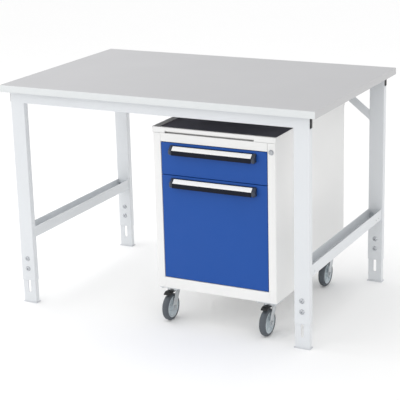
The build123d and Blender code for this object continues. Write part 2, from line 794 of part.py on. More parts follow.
def save_pedestal():
    sides = [side_panel(PED_X0, PED_X0 + WALL), side_panel(PED_X1 - WALL, PED_X1)]
    save("ped_sides", sides)
    save("ped_posts", front_posts())
    save("ped_back", back_panel())
    save("ped_base", base_panel())
    save("ped_top", top_panel())
    save("ped_tray", tray())
    save("ped_mat", mat())
    save("slide_spacers", slide_spacers())
    save("lock_bezel", lock_bezel())
    save("lock_core", lock_core())
    fixed = [slide_outer(side, z) for side in (-1, 1) for z in (SLIDE_Z_UPPER, SLIDE_Z_LOWER)]
    save("slide_outer", fixed)


def save_drawer(name, z0, z1, box_h, slide_z):
    handle_top = z1 - HANDLE_DROP
    save("drawer_" + name + "_front", drawer_front(z0, z1))
    save("drawer_" + name + "_box", drawer_box(z0 + BOX_LIFT, box_h))
    save("handle_" + name, handle_bar(handle_top))
    save("handle_caps_" + name, handle_caps(handle_top))
    save("label_" + name, label_strip(handle_top))
    save("slide_middle_" + name, [slide_middle(-1, slide_z), slide_middle(1, slide_z)])
    save("slide_inner_" + name, [slide_inner(-1, slide_z), slide_inner(1, slide_z)])


def save_casters():
    plates = [Pos(x, y, 0) * caster_plate() for x, y in caster_places().values()]
    save("caster_plates", plates)
    for key, (x, y) in caster_places().items():
        here = Pos(x, y, 0)
        braked = key in ("fl", "fr")
        save("caster_fork_" + key, here * caster_fork(braked))
        save("caster_axle_" + key, here * caster_axle())
        save("caster_wheel_" + key, here * wheel_disc())
        save("caster_tyre_" + key, here * tyre())
        if braked:
            save("brake_pedal_" + key, here * brake_pedal())


save_bench()
save_pedestal()
save_drawer("upper", UPPER_Z0, UPPER_Z1, UPPER_BOX_H, SLIDE_Z_UPPER)
save_drawer("lower", LOWER_Z0, LOWER_Z1, LOWER_BOX_H, SLIDE_Z_LOWER)
save_casters()
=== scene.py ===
import math

import bmesh
import bpy
import numpy as np
from mathutils import Matrix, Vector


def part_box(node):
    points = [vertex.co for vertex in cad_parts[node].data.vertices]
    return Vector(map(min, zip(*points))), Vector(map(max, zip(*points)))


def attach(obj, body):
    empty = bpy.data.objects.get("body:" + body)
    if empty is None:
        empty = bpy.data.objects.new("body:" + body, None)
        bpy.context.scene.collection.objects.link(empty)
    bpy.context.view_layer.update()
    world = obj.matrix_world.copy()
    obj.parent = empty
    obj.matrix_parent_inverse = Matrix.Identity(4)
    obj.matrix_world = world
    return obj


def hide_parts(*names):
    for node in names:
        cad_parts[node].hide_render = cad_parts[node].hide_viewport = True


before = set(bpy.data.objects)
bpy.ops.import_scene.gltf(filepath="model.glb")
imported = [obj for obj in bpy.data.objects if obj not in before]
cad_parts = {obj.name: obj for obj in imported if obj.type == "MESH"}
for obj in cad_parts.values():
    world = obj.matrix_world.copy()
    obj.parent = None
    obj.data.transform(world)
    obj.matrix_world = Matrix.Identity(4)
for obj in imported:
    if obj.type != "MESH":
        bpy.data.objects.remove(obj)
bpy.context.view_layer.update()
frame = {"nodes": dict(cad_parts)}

bl_info = {
    "name": "Adjustable workbench with drawer pedestal",
    "version": (1, 0, 0),
    "blender": (4, 5, 0),
    "location": "View3D > Sidebar > Workbench",
    "description": "Finishes a telescopic-leg workbench and its mobile two-drawer pedestal",
    "category": "Object",
}

MM = 0.001
CASTERS = ("fl", "fr", "rl", "rr")
BRAKED = ("fl", "fr")
DRAWERS = ("upper", "lower")

# Sizes that several pieces share
LEG_W = 58.0 * MM
AXLE_BORE = 5.06 * MM

# Where the camera stands, how far it is tipped down, turned and rolled, in degrees, and its lens
CAMERA_PLACE = (2.1950, -4.2391, 1.7967)
CAMERA_ANGLES = (16.635, 27.526, -1.531)
CAMERA_LENS = 117.37

# Area lamps: place, target, width and power
LAMPS = {
    "key": ((-2.6, -4.6, 2.6), (0.0, 0.0, 0.3), 3.5, 26.0),
    "top": ((-2.4, -0.2, 2.6), (-0.4, 0.0, 0.2), 2.2, 24.0),
    "fill": ((3.4, -2.6, 0.8), (0.2, 0.0, 0.4), 2.0, 8.0),
}


# ---------------------------------------------------------------- colour

def linear(hex_colour):
    """sRGB hex to linear RGBA: the low part divides by 12.92, the rest is a 2.4 power."""
    srgb = np.array([int(hex_colour[i:i + 2], 16) for i in (1, 3, 5)]) / 255.0
    value = np.where(srgb <= 0.04045, srgb / 12.92, ((srgb + 0.055) / 1.055) ** 2.4)
    return tuple(float(v) for v in value) + (1.0,)


def colour_prop(name, description, hex_colour):
    return bpy.props.FloatVectorProperty(name=name, description=description, subtype="COLOR", size=4,
                                         min=0.0, max=1.0, default=linear(hex_colour))


def length_prop(name, description, default):
    return bpy.props.FloatProperty(name=name, description=description, default=default, min=0.0,
                                   unit="LENGTH", subtype="DISTANCE", precision=4)


class BenchColours(bpy.types.PropertyGroup):
    """The finishes a user would change."""
    laminate: colour_prop("Worktop", "Laminate of the worktop", "#B5B5B7")
    edge: colour_prop("Edge band", "Plastic edge of the worktop", "#D8DBDC")
    # The end bands are a darker grey, the laminate's, as painted shade: the shade that falls on the
    # worktop's end faces.
    end_band_shade: colour_prop("End bands", "Plastic edge of the two short ends", "#BEBEBF")
    frame: colour_prop("Bench frame", "Powder coat of legs and rails", "#D9DCDF")
    cabinet: colour_prop("Pedestal", "Powder coat of the carcass", "#EAEAE9")
    fronts: colour_prop("Drawer fronts", "Powder coat of the fronts", "#174D9E")
    drawer: colour_prop("Drawer inside", "Powder coat of the drawer boxes", "#D5D9DB")
    label: colour_prop("Label strip", "Plain insert of the grips", "#FAFAFA")
    # The grips' dark navy is partly the moulding's own dark colour and partly painted shade, with a painted
    # reflection of the blue front.
    grip: colour_prop("Grips", "Moulded grips", "#0A1020")
    grip_end: colour_prop("Grip ends", "Moulded ends of the grips", "#343B49")
    black: colour_prop("Black mouldings", "Rail caps and brake pedals", "#101113")
    glide: colour_prop("Foot glides", "Moulded glides under the legs", "#CFD1D5")
    # The mat's grey is lighter than the very dark rubber: painted light that makes up for the shade the
    # worktop casts into the tray.
    mat: colour_prop("Mat", "Ribbed rubber mat", "#5C5C66")
    tyre: colour_prop("Tyres", "Caster tyres", "#51575D")
    wheel: colour_prop("Wheel centres", "Moulded wheel centres", "#BFC8CD")
    zinc: colour_prop("Zinc plating", "Bolts, slides and caster steel", "#C9CDD0")
    nickel: colour_prop("Lock", "Nickel-plated lock", "#B9BCC0")
    floor: colour_prop("Floor", "Plain studio floor", "#FDFDFD")


class BenchSizes(bpy.types.PropertyGroup):
    """The small sizes that finish each piece, in metres."""
    fold_radius: length_prop("Fold radius", "Outside radius of the folded channels", 2.6 * MM)
    shell_radius: length_prop("Carcass radius", "Outside radius of the carcass corners", 4.0 * MM)
    front_radius: length_prop("Front radius", "Softened edge of the drawer fronts", 2.2 * MM)
    edge_radius: length_prop("Edge radius", "Softened edge of the plastic band", 1.6 * MM)
    rib_pitch: length_prop("Rib pitch", "Distance from rib to rib on the mat", 6.0 * MM)
    rib_height: length_prop("Rib height", "Height of the ribs on the mat", 1.0 * MM)
    lens: bpy.props.FloatProperty(name="Lens", description="Focal length on a 36 mm wide frame",
                                  default=CAMERA_LENS, min=1.0, unit="CAMERA")


# ---------------------------------------------------------------- materials

def add(tree, kind, inputs=None, **settings):
    """Adds one node. Settings are its own, inputs are socket values or the sockets that feed them."""
    new = tree.nodes.new(kind)
    for key, value in settings.items():
        setattr(new, key, value)
    for key, value in (inputs or {}).items():
        if isinstance(value, bpy.types.NodeSocket):
            tree.links.new(value, new.inputs[key])
        else:
            new.inputs[key].default_value = value
    return new


def start(name):
    """An empty material with its Object coordinates, in metres."""
    mat = bpy.data.materials.new(name)
    mat.use_nodes = True
    tree = mat.node_tree
    tree.nodes.clear()
    place = add(tree, "ShaderNodeTexCoord").outputs["Object"]
    return mat, tree, place


def finish_material(tree, shader_inputs):
    shader = add(tree, "ShaderNodeBsdfPrincipled", shader_inputs)
    add(tree, "ShaderNodeOutputMaterial", {"Surface": shader.outputs["BSDF"]})


def noise(tree, place, wave, detail=2.0, stretch=(1.0, 1.0, 1.0)):
    """Soft noise whose features are wave metres across, stretched along the axes."""
    mapped = add(tree, "ShaderNodeMapping", {"Vector": place, "Scale": stretch}).outputs["Vector"]
    field = add(tree, "ShaderNodeTexNoise", {"Vector": mapped, "Scale": 1.0 / wave, "Detail": detail})
    return field.outputs["Fac"]


def span(tree, value, low, high):
    """Maps the middle of a noise onto low to high."""
    return add(tree, "ShaderNodeMapRange", {"Value": value, "From Min": 0.3, "From Max": 0.7,
                                            "To Min": low, "To Max": high}).outputs["Result"]


def blend(tree, inputs, mode="MIX"):
    """A colour mix of 6 and 7, the numbers of its two colour sockets."""
    return add(tree, "ShaderNodeMix", inputs, data_type="RGBA", blend_type=mode).outputs[2]


def shade(tree, colour, value, low, high):
    """The colour, fixed or from a socket, made lighter and darker by a noise, between the factors low and
    high."""
    factor = span(tree, value, low, high)
    grey = add(tree, "ShaderNodeCombineColor", {"Red": factor, "Green": factor, "Blue": factor})
    return blend(tree, {"Factor": 1.0, 6: colour, 7: grey.outputs["Color"]}, "MULTIPLY")


def bump(tree, height, depth, strength=1.0):
    """A bump of depth metres from a height of 0 to 1."""
    relief = add(tree, "ShaderNodeBump", {"Height": height, "Distance": depth, "Strength": strength})
    return relief.outputs["Normal"]


def powder_coat(name, colour, rough=0.42, ior=1.5):
    """Powder coat baked on sheet steel. The powder flows out to a fine orange peel, so highlights are broad
    and a little broken; the film is even, with only a faint cloudiness. The peel is about 1.5 mm across on
    the real sheet and is drawn at 3 mm so that it shows."""
    mat, tree, place = start(name)
    cloud = noise(tree, place, 0.35, 1.0)
    peel = noise(tree, place, 3.0 * MM, 1.0)
    scuff = noise(tree, place, 60.0 * MM, 4.0)
    finish_material(tree, {
        "Base Color": shade(tree, colour, cloud, 0.975, 1.02),
        "Roughness": span(tree, scuff, rough - 0.05, rough + 0.06),
        "IOR": ior,
        "Normal": bump(tree, peel, 0.06 * MM, 0.6),
    })
    return mat


def melamine(name, colour):
    """Melamine laminate pressed on chipboard. The printed paper has a fine pearl fleck, and the press plate
    leaves a matt, slightly pebbled face. Flecks are near 1 mm and are drawn at 2.5 mm."""
    mat, tree, place = start(name)
    fleck = noise(tree, place, 2.5 * MM, 3.0)
    cloud = noise(tree, place, 0.5, 1.0)
    pebble = noise(tree, place, 2.0 * MM, 1.0)
    wipe = noise(tree, place, 0.2, 2.0)
    flecked = shade(tree, colour, fleck, 0.985, 1.015)
    finish_material(tree, {
        "Base Color": shade(tree, flecked, cloud, 0.99, 1.01),
        "Roughness": span(tree, wipe, 0.52, 0.58),
        "IOR": 1.5,
        "Normal": bump(tree, pebble, 0.03 * MM, 0.25),
    })
    return mat


def moulded(name, colour, rough=0.5, tone=0.05, ior=1.49):
    """A thermoplastic moulded against spark-textured steel: an even colour with a fine dull grain.
    The grain is 0.3 mm on the real part and is drawn at about a millimetre."""
    mat, tree, place = start(name)
    texture = noise(tree, place, 1.2 * MM, 2.0)
    handled = noise(tree, place, 25.0 * MM, 3.0)
    finish_material(tree, {
        "Base Color": shade(tree, colour, handled, 1.0 - tone, 1.0 + tone),
        "Roughness": span(tree, handled, rough - 0.06, rough + 0.08),
        "IOR": ior,
        "Normal": bump(tree, texture, 0.05 * MM, 0.5),
    })
    return mat


def edge_band(name, colour, end_shade_colour, reach):
    """ABS edge tape glued on and trimmed flush. The long edges have the lighter tape; the two short ends are
    drawn in the laminate's grey as painted shade, the shade that falls on the end faces. The mask is the
    distance from the middle, |X|, beyond reach."""
    mat, tree, place = start(name)
    grain = noise(tree, place, 1.2 * MM, 2.0)
    handled = noise(tree, place, 30.0 * MM, 3.0)
    along = add(tree, "ShaderNodeSeparateXYZ", {"Vector": place}).outputs["X"]
    distance = add(tree, "ShaderNodeMath", {0: along}, operation="ABSOLUTE").outputs[0]
    # Beyond reach the tape is drawn darker, as painted shade on the end faces.
    at_shaded_end = add(tree, "ShaderNodeMath", {0: distance, 1: reach}, operation="GREATER_THAN").outputs[0]
    long_tape = shade(tree, colour, handled, 0.99, 1.01)
    shaded_end_tape = shade(tree, end_shade_colour, handled, 0.99, 1.01)
    finish_material(tree, {
        "Base Color": blend(tree, {"Factor": at_shaded_end, 6: long_tape, 7: shaded_end_tape}),
        "Roughness": span(tree, handled, 0.44, 0.54),
        "IOR": 1.49,
        "Normal": bump(tree, grain, 0.04 * MM, 0.4),
    })
    return mat


def zinc_plate(name, colour, rough=0.34):
    """Bright zinc plating on pressed steel. The passivated film is a little cloudy, bluish where it is
    thin, and the rolled sheet shows through as fine streaks."""
    mat, tree, place = start(name)
    cloud = noise(tree, place, 9.0 * MM, 3.0)
    streak = noise(tree, place, 2.0 * MM, 2.0, (1.0, 1.0, 0.15))
    finish_material(tree, {
        "Base Color": shade(tree, colour, cloud, 0.88, 1.06),
        "Metallic": 1.0,
        "Roughness": span(tree, cloud, rough - 0.08, rough + 0.12),
        "Normal": bump(tree, streak, 0.03 * MM, 0.5),
    })
    return mat


def label_film(name, colour):
    """A white card behind a clear film: the film gives it a soft gloss over a plain matt colour."""
    mat, tree, place = start(name)
    fibre = noise(tree, place, 4.0 * MM, 4.0)
    finish_material(tree, {
        "Base Color": shade(tree, colour, fibre, 0.98, 1.01),
        "Roughness": span(tree, fibre, 0.35, 0.45),
        "IOR": 1.49,
        "Coat Weight": 0.4,
        "Coat Roughness": 0.15,
    })
    return mat


def mat_rubber(name, colour):
    """Calendered nitrile rubber: dull, with paler dust lying in a fine grain. The rubber is very dark; its
    colour is drawn lighter, as painted light that makes up for the shade under the worktop.
    """
    mat, tree, place = start(name)
    grain = noise(tree, place, 1.5 * MM, 3.0)
    dust = noise(tree, place, 70.0 * MM, 4.0)
    finish_material(tree, {
        "Base Color": shade(tree, colour, dust, 0.94, 1.06),
        "Roughness": span(tree, grain, 0.62, 0.8),
        "IOR": 1.52,
        "Normal": bump(tree, grain, 0.12 * MM, 0.7),
    })
    return mat


def tyre_rubber(name, colour):
    """Non-marking thermoplastic rubber moulded on the wheel centre. Rolling polishes the tread a little and
    leaves scuffs that run round it."""
    mat, tree, place = start(name)
    scuff = noise(tree, place, 8.0 * MM, 4.0, (1.0, 0.3, 0.3))
    grain = noise(tree, place, 1.2 * MM, 2.0)
    finish_material(tree, {
        "Base Color": shade(tree, colour, scuff, 0.88, 1.12),
        "Roughness": span(tree, scuff, 0.5, 0.68),
        "IOR": 1.5,
        "Normal": bump(tree, grain, 0.05 * MM, 0.6),
    })
    return mat


def nickel_plate(name, colour):
    """Nickel plating on a die-cast lock: bright, barely brushed by the tumbling before plating."""
    mat, tree, place = start(name)
    haze = noise(tree, place, 3.0 * MM, 2.0)
    finish_material(tree, {
        "Base Color": shade(tree, colour, haze, 0.95, 1.03),
        "Metallic": 1.0,
        "Roughness": span(tree, haze, 0.16, 0.26),
        "Normal": bump(tree, haze, 0.02 * MM, 0.3),
    })
    return mat


def studio_floor(name, colour):
    """A painted studio floor: flat, pale and without gloss."""
    mat, tree, place = start(name)
    cloud = noise(tree, place, 1.2, 1.0)
    finish_material(tree, {
        "Base Color": shade(tree, colour, cloud, 0.995, 1.0),
        "Roughness": 0.9,
        "IOR": 1.3,
    })
    return mat


MATERIALS = {
    "laminate": lambda c: melamine("melamine_laminate_light_grey", c.laminate),
    "edge": lambda c: edge_band("abs_edge_band", c.edge, c.end_band_shade, corners("top_board")[1][0]),
    "frame": lambda c: powder_coat("powder_coated_steel_light_grey", c.frame),
    "cabinet": lambda c: powder_coat("powder_coated_steel_off_white", c.cabinet, 0.44),
    "fronts": lambda c: powder_coat("powder_coated_steel_blue", c.fronts, 0.48, 1.36),
    "drawer": lambda c: powder_coat("powder_coated_steel_drawer", c.drawer, 0.45),
    "label": lambda c: label_film("card_under_clear_film", c.label),
    # The grip's near-black navy is part moulding colour, part painted shade under the label face.
    "grip": lambda c: moulded("moulded_abs_slate_painted_shade", c.grip, 0.6, 0.05, 1.3),
    "grip_end": lambda c: moulded("moulded_abs_dark_grey", c.grip_end, 0.42),
    "glide": lambda c: moulded("moulded_polyamide_grey", c.glide, 0.5),
    "black": lambda c: moulded("moulded_nylon_black", c.black, 0.45),
    "mat": lambda c: mat_rubber("nitrile_rubber_mat_painted_light", c.mat),
    "tyre": lambda c: tyre_rubber("thermoplastic_rubber_tyre", c.tyre),
    "wheel": lambda c: moulded("polyamide_wheel_centre", c.wheel, 0.4),
    "zinc": lambda c: zinc_plate("zinc_plated_steel", c.zinc),
    "nickel": lambda c: nickel_plate("nickel_plated_zamak", c.nickel),
    "floor": lambda c: studio_floor("painted_studio_floor", c.floor),
}
made = {}


def finish_of(key):
    """The material of that key, made once."""
    if key not in made:
        made[key] = MATERIALS[key](bpy.context.scene.bench_colours)
    return made[key]


def paint(key, *nodes):
    """Gives CAD nodes that keep their shape their material."""
    for name in nodes:
        slots = frame["nodes"][name].data.materials
        slots.clear()
        slots.append(finish_of(key))


# ---------------------------------------------------------------- surfaces

def corners(node):
    """Lowest and highest corner of a CAD node, as arrays."""
    low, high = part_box(node)
    return np.array(low, float), np.array(high, float)


def quads(rows, cols, wrap_rows=False, wrap_cols=False):
    """Quads that join neighbouring points of a rows by cols grid, wrapping round where asked."""
    i, j = np.meshgrid(np.arange(rows - (not wrap_rows)), np.arange(cols - (not wrap_cols)), indexing="ij")
    i2 = (i + 1) % rows
    j2 = (j + 1) % cols
    return np.stack([i * cols + j, i2 * cols + j, i2 * cols + j2, i * cols + j2], -1).reshape(-1, 4)


def merge(parts):
    """Several (points, faces) joined into one."""
    points = np.concatenate([p for p, _ in parts])
    starts = np.cumsum([0] + [len(p) for p, _ in parts[:-1]])
    faces = [tuple(int(i) + int(s) for i in face) for (_, fs), s in zip(parts, starts) for face in fs]
    return points, faces


def on_axes(points, axis):
    """Turns (a, b, along) columns so that along lies on axis: x gives (along, a, b) and y (a, along, b)."""
    order = {"x": (2, 0, 1), "y": (0, 2, 1), "z": (0, 1, 2)}[axis]
    return points[..., order]


def rounded_path(points, radius, steps=6):
    """A path through the points with each inner corner turned into an arc of the radius: the arc's ends lie
    radius times the tangent of half the turn before and after the corner."""
    points = np.array(points, float)
    radii = np.broadcast_to(radius, len(points))
    out = [points[0]]
    for before, corner, after, r in zip(points[:-2], points[1:-1], points[2:], radii[1:-1]):
        u = (before - corner) / np.linalg.norm(before - corner)
        v = (after - corner) / np.linalg.norm(after - corner)
        half = math.acos(max(-1.0, min(1.0, float(u @ v)))) / 2
        if half > 1.56 or r <= 0:
            out.append(corner)
            continue
        centre = corner + (u + v) / np.linalg.norm(u + v) * r / math.sin(half)
        a = corner + u * r / math.tan(half) - centre
        b = corner + v * r / math.tan(half) - centre
        turn = math.atan2(a[0] * b[1] - a[1] * b[0], a @ b)
        t = np.linspace(0.0, turn, steps + 1)
        arc = np.stack([a[0] * np.cos(t) - a[1] * np.sin(t), a[0] * np.sin(t) + a[1] * np.cos(t)], -1)
        out.extend(centre + arc)
    out.append(points[-1])
    return np.array(out)


def side_step(path, distance):
    """The path moved sideways by the distance: each point goes along the mean of its two edge normals,
    lengthened at corners so that the edges stay parallel."""
    edges = np.diff(path, axis=0)
    edges /= np.linalg.norm(edges, axis=1, keepdims=True)
    normals = np.stack([edges[:, 1], -edges[:, 0]], -1)
    first = np.vstack([normals[:1], normals])
    second = np.vstack([normals, normals[-1:]])
    mean = first + second
    mean /= np.linalg.norm(mean, axis=1, keepdims=True)
    return path + distance * mean / np.sum(mean * first, axis=1, keepdims=True)


def strip(a, b, low, high, axis):
    """A solid between two paths a and b of equal length, carried straight from low to high along axis. Its
    ends are closed by quads that join a to b."""
    loop = np.concatenate([a, b[::-1]])
    count = len(loop)
    rings = [np.column_stack([loop, np.full(count, value)]) for value in (low, high)]
    points = on_axes(np.concatenate(rings), axis)
    faces = [tuple(f) for f in quads(2, count, wrap_cols=True)]
    i = np.arange(len(a) - 1)
    ends = np.stack([i, i + 1, count - 2 - i, count - 1 - i], -1)
    faces += [tuple(f) for f in ends] + [tuple(f[::-1]) for f in ends + count]
    return points, faces


def sheet_section(points, radius, thickness, low, high, axis):
    """Folded sheet: a path with rounded corners, given a thickness on its right-hand side."""
    path = rounded_path(points, radius)
    return strip(path, side_step(path, -thickness), low, high, axis)


def round_box(low, high, radius, steps=4):
    """A box with rounded edges: the grids on a cube's faces are blown up to a sphere of the radius, and each
    eighth of the sphere is moved out to its corner of the box shrunk by the radius."""
    low = np.array(low, float)
    high = np.array(high, float)
    centre = (low + high) / 2
    half = (high - low) / 2
    radius = min(radius, float(half.min()) * 0.999)
    turn = np.linspace(-math.pi / 4, math.pi / 4, 2 * steps + 1)
    bend = np.tan(turn)
    side = np.concatenate([bend[:steps + 1], bend[steps:]])
    sign = np.concatenate([-np.ones(steps + 1), np.ones(steps + 1)])
    count = len(side)
    parts = []
    for axis in range(3):
        for way in (-1.0, 1.0):
            u, v = np.meshgrid(np.arange(count), np.arange(count), indexing="ij")
            cube = np.empty((count, count, 3))
            core = np.empty((count, count, 3))
            a, b = [k for k in range(3) if k != axis]
            cube[..., a], cube[..., b], cube[..., axis] = side[u], side[v], way
            core[..., a], core[..., b], core[..., axis] = sign[u], sign[v], way
            out = cube / np.linalg.norm(cube, axis=-1, keepdims=True)
            points = centre + core * (half - radius) + out * radius
            parts.append((points.reshape(-1, 3), [tuple(f) for f in quads(count, count)]))
    return merge(parts)


def lathe(profile, centre, axis, steps=48):
    """A (radius, along) profile turned round axis: each ring holds the profile's points at one angle. A
    profile that starts and ends on the axis closes itself; any other is closed into a ring."""
    profile = np.array(profile, float)
    closed = profile[0, 0] > 1e-9
    t = np.linspace(0.0, 2 * math.pi, steps, endpoint=False)[:, None]
    r, along = profile[:, 0][None, :], profile[:, 1][None, :]
    points = np.stack([r * np.cos(t), r * np.sin(t), along + 0 * t], -1)
    faces = quads(steps, len(profile), wrap_rows=True, wrap_cols=closed)
    return on_axes(points.reshape(-1, 3), axis) + np.array(centre), [tuple(f) for f in faces]


def rounded_loop(points, radius, steps=5):
    """A closed outline with all its corners rounded."""
    points = np.array(points, float)
    middle = (points[0] + points[-1]) / 2
    path = rounded_path(np.vstack([middle, points, middle]), radius, steps)
    return path[:-1]


def plate(outline, low, high, axis, radius, steps=3):
    """A flat plate with rounded rims: at each angle a ring of the outline is drawn in by r(1 - cos) and lies
    r(1 - sin) inside its face, and a fan about the outline's centre closes each face."""
    outline = np.array(outline, float)
    following = np.roll(outline, -1, axis=0)
    if np.sum(outline[:, 0] * following[:, 1] - outline[:, 1] * following[:, 0]) < 0:
        outline = outline[::-1]
    loop = np.vstack([outline[-1:], outline, outline[:1]])
    t = np.linspace(0.0, math.pi / 2, steps + 1)
    rings = []
    for end, way, angles in ((low, 1, t[::-1]), (high, -1, t)):
        for angle in angles:
            inner = side_step(loop, -radius * (1 - math.cos(angle)))[1:-1]
            level = end + way * radius * (1 - math.sin(angle))
            rings.append(np.column_stack([inner, np.full(len(inner), level)]))
    count = len(outline)
    rows = len(rings)
    centre = outline.mean(axis=0)
    points = np.concatenate(rings + [np.array([[*centre, low], [*centre, high]])])
    faces = [tuple(f) for f in quads(rows, count, wrap_cols=True)]
    i = np.arange(count)
    j = (i + 1) % count
    foot = rows * count
    top = (rows - 1) * count
    faces += [tuple(f) for f in np.stack([i, j, np.full(count, foot)], -1)]
    faces += [tuple(f) for f in np.stack([top + j, top + i, np.full(count, foot + 1)], -1)]
    return on_axes(points, axis), faces


def mirrored(part):
    """The same part on the other side of X = 0."""
    points, faces = part
    return points * np.array([-1.0, 1.0, 1.0]), faces


def piece(name, parts, key, body, nodes, sharp=35.0):
    """Puts surfaces into one object, welds its seams, turns its faces outwards, hangs it on its body and
    hides the CAD nodes it replaces.
    """
    points, faces = merge(parts)
    mesh = bpy.data.meshes.new(name)
    mesh.from_pydata(points.tolist(), [], faces)
    bm = bmesh.new()
    bm.from_mesh(mesh)
    bmesh.ops.remove_doubles(bm, verts=bm.verts, dist=1e-6)
    bmesh.ops.dissolve_degenerate(bm, edges=bm.edges, dist=1e-7)
    bmesh.ops.recalc_face_normals(bm, faces=bm.faces)
    bm.to_mesh(mesh)
    bm.free()
    mesh.polygons.foreach_set("use_smooth", np.ones(len(mesh.polygons), bool))
    mesh.set_sharp_from_angle(angle=math.radians(sharp))
    mesh.materials.append(finish_of(key))
    obj = bpy.data.objects.new(name, mesh)
    bpy.context.scene.collection.objects.link(obj)
    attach(obj, body)
    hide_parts(*nodes)
    return obj


# ---------------------------------------------------------------- operators

class BenchOperator:
    """What every operator of this add-on shares."""
    bl_options = {"REGISTER", "UNDO"}

    def execute(self, context):
        self.build(context.scene.bench_sizes)
        return {"FINISHED"}


class BENCH_OT_worktop(BenchOperator, bpy.types.Operator):
    """Laminate board and its plastic edge band"""
    bl_idname = "bench.worktop"
    bl_label = "Worktop"

    def build(self, sizes):
        paint("laminate", "top_board")
        low, high = corners("edge_band")
        board_low, _ = corners("top_board")
        r = sizes.edge_radius
        thick = board_low[0] - low[0]
        corner = 2.5 * MM
        plan = [(low[0], low[1]), (high[0], low[1]), (high[0], high[1]), (low[0], high[1])]
        outline = rounded_loop(plan, corner)
        loop = np.vstack([outline[-1:], outline, outline[:1]])
        # The section goes up the outside, over a softened arris, and down against the board.
        t = np.linspace(0.0, math.pi / 2, 4)
        rise = np.concatenate([low[2] + r * (1 - np.cos(t)), high[2] - r + r * np.sin(t)])
        draw = np.concatenate([r * (1 - np.sin(t)), r * (1 - np.cos(t))])
        rise = np.concatenate([rise, [high[2], low[2]]])
        draw = np.concatenate([draw, [thick, thick]])
        rings = [np.column_stack([side_step(loop, -d)[1:-1], np.full(len(outline), z)])
                 for d, z in zip(draw, rise)]
        faces = quads(len(rings), len(outline), wrap_rows=True, wrap_cols=True)
        band = (np.concatenate(rings), [tuple(f) for f in faces])
        piece("edge_band_strip", [band], "edge", "bench_frame", ["edge_band"])


class BENCH_OT_frame(BenchOperator, bpy.types.Operator):
    """Rails, telescopic legs, cross rails and braces"""
    bl_idname = "bench.frame"
    bl_label = "Frame"

    def build(self, sizes):
        sheet = 2.0 * MM
        lip = 9.0 * MM
        for row in ("front", "rear"):
            low, high = corners("legs_" + row)
            rail_foot = corners(row + "_rail")[0][2]
            r = sizes.fold_radius
            x0 = high[0] - LEG_W
            path = [(x0 + lip, high[1]), (x0, high[1]), (x0, low[1]), (high[0], low[1]), (high[0], high[1]),
                    (high[0] - lip, high[1])]
            leg = sheet_section(path, r, sheet, low[2], rail_foot, "z")
            # Above the rail's foot only the front web goes on, with the start of its two bends.
            t = np.linspace(0.0, math.pi / 2, 7)
            bend = np.column_stack([x0 + r * (1 - np.sin(t)), low[1] + r * (1 - np.cos(t))])[::-1]
            outside = np.vstack([bend, bend[::-1] * (-1, 1) + (x0 + high[0], 0)])
            inside = np.column_stack([outside[:, 0], np.full(len(outside), low[1] + sheet)])
            outside[:, 1] = np.minimum(outside[:, 1], low[1] + sheet * 0.98)
            web = strip(outside, inside, rail_foot, high[2], "z")
            piece("outer_legs_" + row, [leg, web, mirrored(leg), mirrored(web)], "frame", "bench_frame",
                  ["legs_" + row])
            low, high = corners(row + "_rail")
            path = [(high[1], low[2] + lip), (high[1], low[2]), (low[1], low[2]), (low[1], high[2]),
                    (high[1], high[2]), (high[1], high[2] - lip)]
            rail = sheet_section(path, r, sheet, low[0], high[0], "x")
            piece(row + "_rail_channel", [rail], "frame", "bench_frame", [row + "_rail"])
        paint("frame", "inserts_front", "inserts_rear", "cross_rails", "braces")


class BENCH_OT_fixings(BenchOperator, bpy.types.Operator):
    """Bolts, nuts, screws, rail caps and foot glides"""
    bl_idname = "bench.fixings"
    bl_label = "Fixings"

    def build(self, sizes):
        paint("zinc", "clamp_nuts", "cross_rail_bolts", "top_screws")
        low, high = corners("clamp_bolts")
        head_r = 9.5 * MM
        head_t = 4.5 * MM
        xs = (low[0] + head_r, high[0] - head_r)
        zs = (low[2] + head_r, high[2] - head_r)
        faces_y = (corners("legs_front")[0][1], corners("legs_rear")[0][1])
        # A button head: a flat rim, a low dome and a socket.
        t = np.linspace(0.0, 1.0, 7)
        rim_r = 3.2 * MM
        socket_r = 3.0 * MM
        socket_y = -head_t * 0.4
        rise = -head_t * (0.25 + 0.75 * np.sin(t * math.pi / 2))
        dome = np.column_stack([head_r - (head_r - rim_r) * t, rise])
        shank_r = 5.0 * MM
        shank_l = 12.0 * MM
        profile = np.vstack([[(0.0, shank_l), (shank_r, shank_l), (shank_r, 0.0), (head_r, 0.0)], dome,
                             [(socket_r, -head_t), (socket_r, socket_y), (0.0, socket_y)]])
        bolts = [lathe(profile, (x, y, z), "y", 28) for x in xs for y in faces_y for z in zs]
        piece("button_head_bolts", bolts, "nickel", "bench_frame", ["clamp_bolts"])
        caps = []
        thick = 3.0 * MM
        plug_l = 12.0 * MM
        room = 2.2 * MM
        for row in ("front_rail", "rear_rail"):
            lo, hi = corners(row)
            cap = round_box((hi[0], lo[1], lo[2]), (hi[0] + thick, hi[1], hi[2]), 1.4 * MM)
            plug = round_box((hi[0] - plug_l, lo[1] + room, lo[2] + room),
                             (hi[0], hi[1] - room, hi[2] - room), 0.8 * MM)
            caps += [cap, mirrored(cap), plug, mirrored(plug)]
        piece("rail_caps", caps, "black", "bench_frame", ["rail_end_caps"])
        pads = []
        flare = 2.0 * MM
        room = 4.6 * MM
        low, high = corners("foot_pads")
        top = low[2] + 3.0 * MM
        for row in ("front", "rear"):
            lo, hi = corners("legs_" + row)
            x0, x1 = hi[0] - LEG_W, hi[0]
            pad = round_box((x0 - flare, lo[1] - flare, low[2]), (x1 + flare, hi[1] + flare, top), 1.4 * MM)
            plug = round_box((x0 + room, lo[1] + room, top), (x1 - room, hi[1] - room, high[2]), 1.5 * MM)
            pads += [pad, mirrored(pad), plug, mirrored(plug)]
        piece("foot_glides", pads, "glide", "foot_channels", ["foot_pads"])


